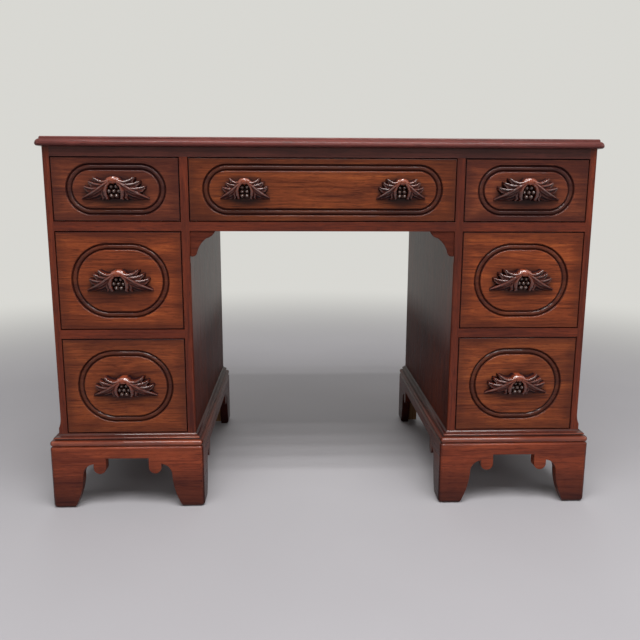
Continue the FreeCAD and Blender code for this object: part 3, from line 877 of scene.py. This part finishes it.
# %% Depth of the relief at every point
def berry_cluster(x, up, kind):
    berries = np.zeros_like(x)
    for count, height in berry_rows[kind]:
        for i in range(count):
            place = ((i - (count - 1) / 2) * berry_pitch, height)
            berry = dome(x, up, place, (berry_radius, berry_radius), berry_foot, berry_crest)
            berries = np.maximum(berries, berry)
    return berries


def relief(x, z, kind):
    wide, tall = np.divide(pull_sizes[kind], pull_sizes["large"])
    across, up, middle = np.abs(x) / wide, z / tall, np.abs(x) / wide ** 0.5
    ground = dome(across, up, (0, -4), (40, 17), 0.0, 11.0)
    hood = dome(middle, up, (0, 16.2), (12.0, 7.4), 20.0, pull_depth)
    depth = ground
    for ribs, slope, reach in ((leaf_blades, blade_slope, across), (leaf_rims, rim_slope, across),
                               (fold_ribs, fold_slope, middle)):
        for rib in ribs:
            depth = np.maximum(depth, ridge(reach, up, rib, slope))
    in_cavity = middle < np.interp(up, cavity_heights, cavity_halves)
    depth = np.where(in_cavity, np.minimum(depth, cavity_floor), depth)
    berries = berry_cluster(x, up, kind)
    depth = np.maximum(depth, berries)
    return np.maximum(depth, hood), berries >= depth


print("hood of a large pull:",
      relief(np.array([0.0]), np.array([16.2]), "large")[0].round(1), "mm deep")

# %% Marks for the finish: hollows for glaze and painted shade, the warm hood and the berries
grid_step = 0.55
hollow_reach = 1.9


def softened(depth, shape):
    spread = np.exp(-(np.arange(-9, 10) * grid_step / hollow_reach) ** 2)
    soft = depth.reshape(shape)
    for axis in (0, 1):
        soft = np.apply_along_axis(np.convolve, axis, soft, spread / spread.sum(), "same")
    return soft.ravel()


def pull_marks(x, z, depth, berries, shape):
    sunken = 0.14 * np.clip((15 - depth) / 8, 0, 1)
    upper = np.clip((z + 14) / 24, 0.3, 1)
    raised = np.clip((depth - 17) / 4, 0, 1)
    # the hollow mark: how far a point lies below its softened surroundings, more where the relief is low;
    # it darkens the hollows with glaze and painted shade
    return {"hollow_glaze_and_shade": np.clip(0.5 + (softened(depth, shape) - depth) / 7 + sunken, 0, 1),
            "warmth": np.exp(-(x / 17) ** 2) * upper * raised,
            "berry": berries}


# %% Press a grid to the relief and cut the waste away
def pressed_grid(name, kind):
    wide, tall = pull_sizes[kind]
    columns, lines = int(wide / grid_step), int(tall / grid_step)
    bpy.ops.object.select_all(action="DESELECT")
    bpy.ops.mesh.primitive_grid_add(x_subdivisions=columns, y_subdivisions=lines, size=1,
                                    rotation=(radians(90), 0, 0))
    pull = bpy.context.object
    pull.name = name
    pull.scale = (wide * mm, tall * mm, 1)
    bpy.ops.object.transform_apply(location=True, rotation=True, scale=True)
    places = np.zeros(len(pull.data.vertices) * 3)
    pull.data.vertices.foreach_get("co", places)
    places = places.reshape(-1, 3)
    x, z = places[:, 0] / mm, places[:, 2] / mm
    depth, berries = relief(x, z, kind)
    places[:, 1] = -depth * mm
    pull.data.vertices.foreach_set("co", places.ravel())
    for mark, values in pull_marks(x, z, depth, berries, (lines + 1, columns + 1)).items():
        layer = pull.data.attributes.new(mark, "FLOAT", "POINT")
        layer.data.foreach_set("value", values.astype(np.float32))
    return pull


def carve_pull(kind):
    pull = pressed_grid("pull_pattern_" + kind, kind)
    bpy.ops.object.mode_set(mode="EDIT")
    bpy.ops.mesh.select_all(action="SELECT")
    bpy.ops.mesh.vertices_smooth(factor=0.5, repeat=1)
    pick(pull, "FACE", lambda f: all(v.co.y > -0.4 * mm for v in f.verts))
    bpy.ops.mesh.delete(type="FACE")
    pick(pull, "EDGE", lambda e: e.is_boundary)
    bpy.ops.transform.resize(value=(1, 0, 1), center_override=(0, 0, 0))
    bpy.ops.mesh.fill()
    bpy.ops.mesh.select_all(action="SELECT")
    bpy.ops.mesh.normals_make_consistent(inside=False)
    done(pull, 70, flat_faces=False)
    print(kind, "pull:", len(pull.data.polygons), "faces,",
          [round(v / mm, 1) for v in pull.dimensions], "mm")
    return pull


patterns = {kind: carve_pull(kind) for kind in pull_sizes}

# %% A finish with glaze and painted shade in the hollows, a warmer hood and a full coat on the crests
carved_colours = ((0.150, 0.0290, 0.0130), (0.088, 0.0165, 0.0085), (0.030, 0.0070, 0.0050))
hood_colour = (0.24, 0.048, 0.018, 1)
berry_colour = (0.066, 0.032, 0.025, 1)


def carved_finish():
    finish, tree, shader = start_finish("carved_wood")
    wood = wood_on(tree, "sideways", (0.0, 0.3, 0.2), carved_colours)[1]
    hollow_glaze_and_shade, warmth, berry = (add_node(tree, "ShaderNodeAttribute", attribute_name=mark).outputs["Fac"]
                             for mark in ("hollow_glaze_and_shade", "warmth", "berry"))
    colour = blend(tree, reckon(tree, "MULTIPLY", warmth, 0.85), wood["Colour"], hood_colour)
    colour = blend(tree, berry, colour, berry_colour)
    # glaze and painted shade in the hollows
    colour = blend(tree, ramp(tree, hollow_glaze_and_shade, 0.46, 0.63, 0.0, 0.96), colour, glaze_and_shade_colour)
    lacquer(tree, shader, wood, colour, 0.9, depth=0.00003, shine=0.02)
    shader.inputs["Coat IOR"].default_value = 1.7
    tree.links.new(ramp(tree, hollow_glaze_and_shade, 0.42, 0.52, 1.0, 0.1), shader.inputs["Coat Weight"])
    return finish


carved_wood = carved_finish()
print("finish", carved_wood.name)

# %% Hang the pulls on the drawers
def hang_pull(pattern, name, body, node, place):
    pull = bpy.data.objects.new(name, pattern.data.copy())
    bpy.context.scene.collection.objects.link(pull)
    pull.data.transform(Matrix.Translation(place))
    dress(pull, [carved_wood], body, "carved_wood", node)


for drawer, centre in pull_centres.items():
    if drawer == "centre_drawer":
        for hand, side in (("left", -1), ("right", 1)):
            hang_pull(patterns["small"], drawer + "_pull_carved_" + hand, drawer, drawer + "_pulls",
                      centre + Vector((side * centre_half_spacing, 0, 0)))
    else:
        hang_pull(patterns["large"], drawer + "_pull_carved", drawer, drawer + "_pull", centre)
for pattern in patterns.values():
    bpy.data.objects.remove(pattern)
print("pulls hung on", len(pull_centres), "drawers")

# %% [markdown]
# ## Drawer boxes and hidden boards
# Drawer sides, backs and bottoms are of a paler wood, and the runners, back boards and blocks are plain
# and unlacquered. Their solids are right as they are, so they stay and only take a finish.

# %% Finish the boards that stay
def paint(node, finish):
    nodes[node].data.materials.clear()
    nodes[node].data.materials.append(finish)


for drawer in drawers:
    paint(drawer + "_sides", box_back)
    paint(drawer + "_back", box_sideways)
    paint(drawer + "_bottom", box_sideways)
for node, finish in {"runners_and_kickers": plain_back, "drawer_stops": plain_back,
                     "pedestal_bottoms": frame_sideways, "back_boards": plain_upright,
                     "plinth_backs": plain_sideways, "glue_blocks": plain_upright}.items():
    paint(node, finish)
print("drawer boxes and hidden boards finished")

# %% [markdown]
# ## Floor and light
# A pale floor and a few plain lamps are enough. Five long tubes under the ceiling light the fronts from
# above, as in a workshop, and make the thin highlights on the mouldings and the carving, while wide soft
# lamps fill the shade. The floor fades into the pale tone of the backdrop far from the desk.

# %% Lay the floor
backdrop_colour = (0.690, 0.685, 0.650, 1)
floor_colours = (0.365, 0.352, 0.368, 1), (0.405, 0.392, 0.408, 1)
fade_from, fade_to = 1.1, 3.2


def seen_straight(tree):
    """One for a ray from the camera, from a gloss or through glass, and nought for scattered light."""
    path = add_node(tree, "ShaderNodeLightPath").outputs
    gloss = reckon(tree, "MAXIMUM", path["Is Glossy Ray"], path["Is Transmission Ray"])
    return reckon(tree, "MAXIMUM", path["Is Camera Ray"], gloss)


def pale_floor():
    finish, tree, shader = start_finish("pale_floor")
    place = add_node(tree, "ShaderNodeTexCoord").outputs["Object"]
    mottle = add_node(tree, "ShaderNodeTexNoise", {"Vector": place, "Scale": 2.0, "Detail": 3.0})
    tree.links.new(blend(tree, mottle.outputs["Fac"], *floor_colours), shader.inputs["Base Color"])
    shader.inputs["Roughness"].default_value = 0.65
    distance = add_node(tree, "ShaderNodeVectorMath", {0: place}, operation="LENGTH").outputs["Value"]
    far = reckon(tree, "MULTIPLY", ramp(tree, distance, fade_from, fade_to), seen_straight(tree))
    glow = add_node(tree, "ShaderNodeEmission", {"Color": backdrop_colour})
    faded = add_node(tree, "ShaderNodeMixShader", {0: far, 1: shader.outputs[0], 2: glow.outputs[0]})
    tree.links.new(faded.outputs[0], tree.nodes["Material Output"].inputs["Surface"])
    return finish


bpy.ops.object.select_all(action="DESELECT")
bpy.ops.mesh.primitive_plane_add(size=40, location=(0, 0, 0))
floor = bpy.context.object
floor.name = "floor"
floor.data.materials.append(pale_floor())
print("floor", floor.dimensions.x, "m wide")

# %% Hang the lamps
tube_size, tube_power = (2.5, 0.115), 21.5
tube_middle, tube_height = 0.1, 2.75
tube_reaches = (-0.95, -1.22, -1.5, -1.8, -2.15)


def soft_lamp(name, place, target, size, power):
    lamp = bpy.data.lights.new(name, "AREA")
    lamp.shape = "RECTANGLE"
    lamp.size, lamp.size_y = size
    lamp.energy = power
    hung = bpy.data.objects.new(name, lamp)
    bpy.context.scene.collection.objects.link(hung)
    hung.location = place
    hung.rotation_euler = (Vector(target) - Vector(place)).to_track_quat("-Z", "Y").to_euler()


for row, reach in enumerate(tube_reaches):
    soft_lamp("ceiling_tube_" + str(row), (tube_middle, reach, tube_height), (tube_middle, reach, 0.0),
              tube_size, tube_power)
soft_lamp("front_lamp", (0.7, -3.2, 1.9), (0.2, -0.3, 0.30), (1.8, 0.7), 17)
soft_lamp("left_lamp", (-2.6, -1.8, 1.9), (0, 0, 0.4), (1.4, 1.4), 11)
soft_lamp("right_lamp", (2.6, -1.4, 1.9), (0, 0, 0.4), (1.4, 1.4), 14)
soft_lamp("back_lamp", (0.0, 2.2, 2.4), (0, 0.9, 0.0), (2.4, 1.2), 22)

# %% Set the sky
sky_light = (0.12, 0.12, 0.125, 1)


def pale_sky():
    world = bpy.data.worlds.new("pale_sky")
    bpy.context.scene.world = world
    world.use_nodes = True
    tree = world.node_tree
    tree.links.new(blend(tree, seen_straight(tree), sky_light, backdrop_colour),
                   tree.nodes["Background"].inputs["Color"])
    return world


print("sky", pale_sky().name)
